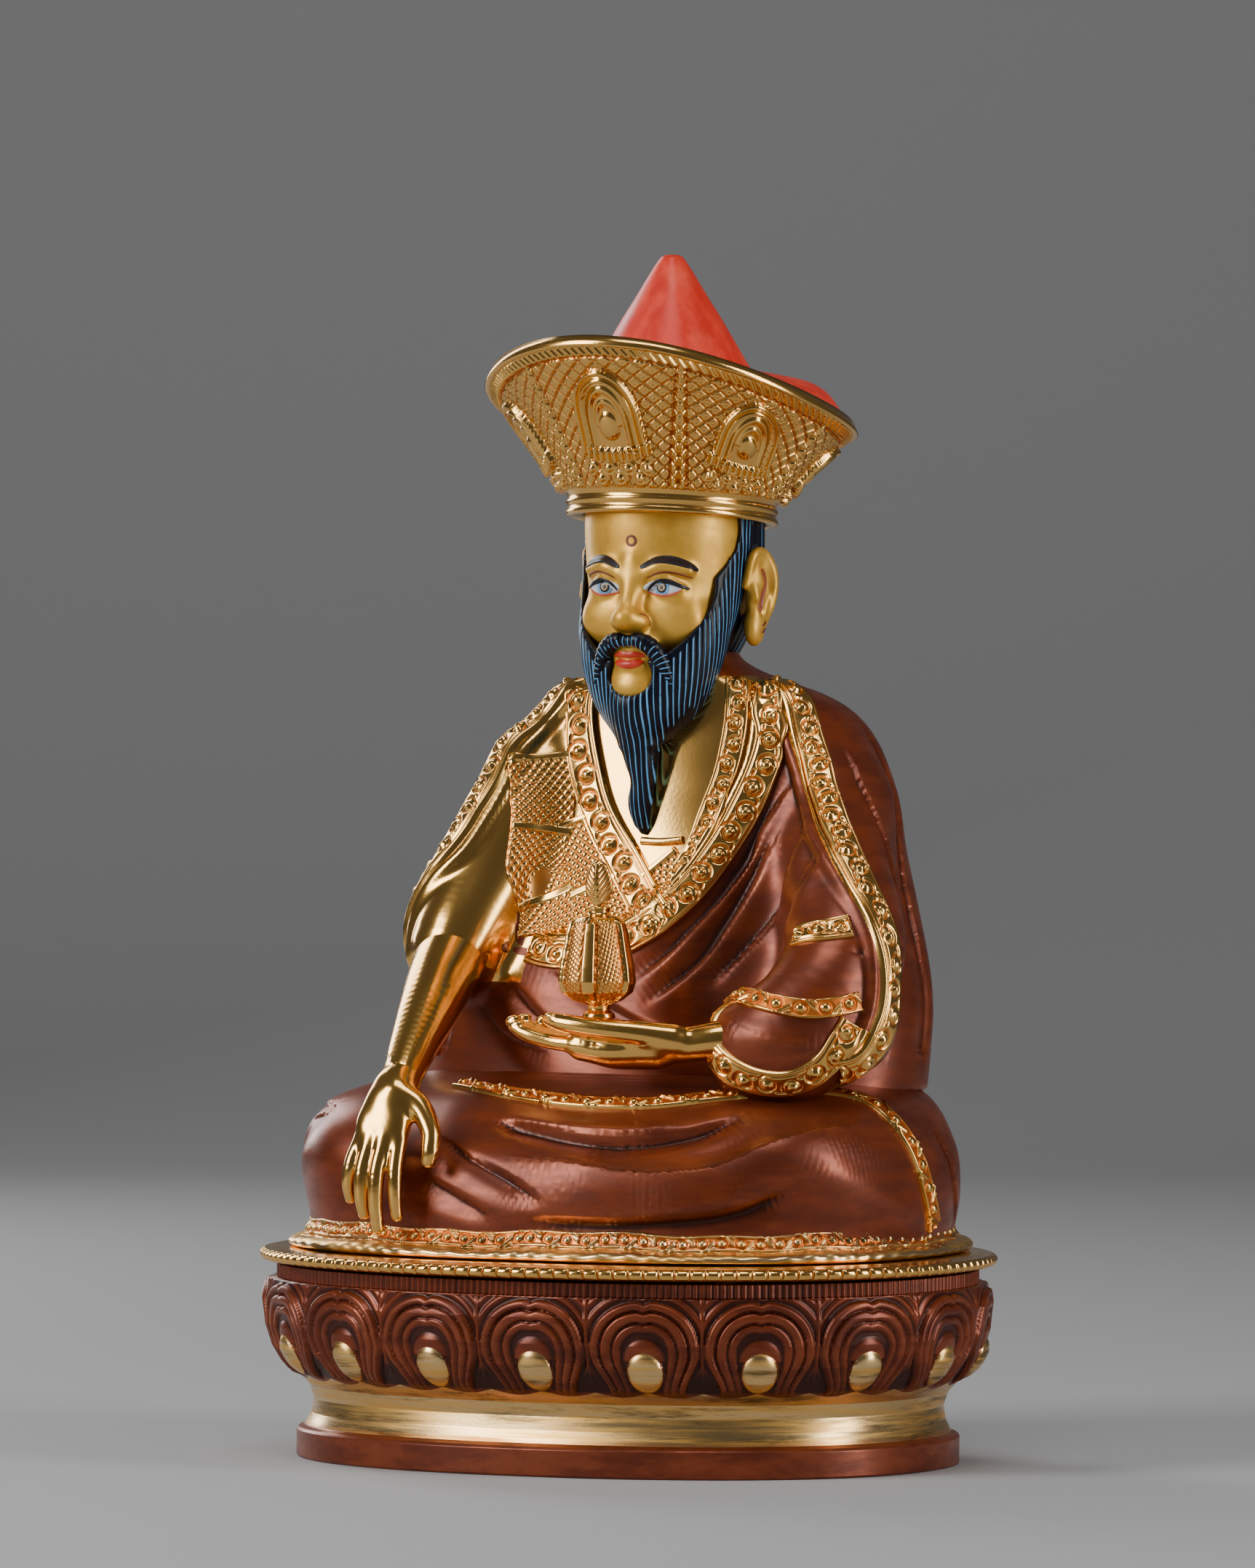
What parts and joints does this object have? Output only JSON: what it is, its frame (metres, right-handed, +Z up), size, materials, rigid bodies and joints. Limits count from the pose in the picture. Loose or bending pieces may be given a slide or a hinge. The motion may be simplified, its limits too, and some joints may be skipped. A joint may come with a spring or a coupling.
{
  "type": "seated statue",
  "caption": "Cast copper statue of a seated, bearded teacher in a wide hat on an oval lotus throne, partly gilt, head and hat painted.",
  "frame": {"origin": "middle of the throne's underside, on the surface that it stands on", "axes": "+Z up; the figure faces -Y; +X is the figure's left"},
  "size_m": [0.142, 0.108, 0.2255],
  "materials": {
    "patina_copper": "satin red-brown patina on cast copper, darker in the folds",
    "gilt": "fire gilding, polished on the high places and orange-red in the recesses",
    "painted_gold": "matt cold-gold paint with fine painted lines; the hair and beard are blue-black",
    "vermilion": "satin vermilion paint with faint brush marks",
    "raw_copper": "bare copper of the pins, the neck sleeve and the seal plate, dulled"
  },
  "bodies": {
    "root": {"lotus_base": "patina_copper", "seal_plate": "raw_copper", "seat_deck": "gilt", "seat_pin_front_right": "raw_copper", "seat_pin_front_left": "raw_copper", "seat_pin_back_right": "raw_copper", "seat_pin_back_left": "raw_copper", "lap_casting": "patina_copper", "waist_pin_right": "raw_copper", "waist_pin_left": "raw_copper", "torso_casting": "patina_copper", "right_forearm": "gilt", "right_arm_pin": "raw_copper", "left_hand": "gilt", "left_hand_pin": "raw_copper", "vase": "gilt", "vase_stud": "raw_copper", "vase_leaf": "gilt", "neck_sleeve": "raw_copper", "head": "painted_gold", "hat_brim": "gilt", "hat_crown": "vermilion", "hat_rivet": "raw_copper"}
  },
  "joints": []
}
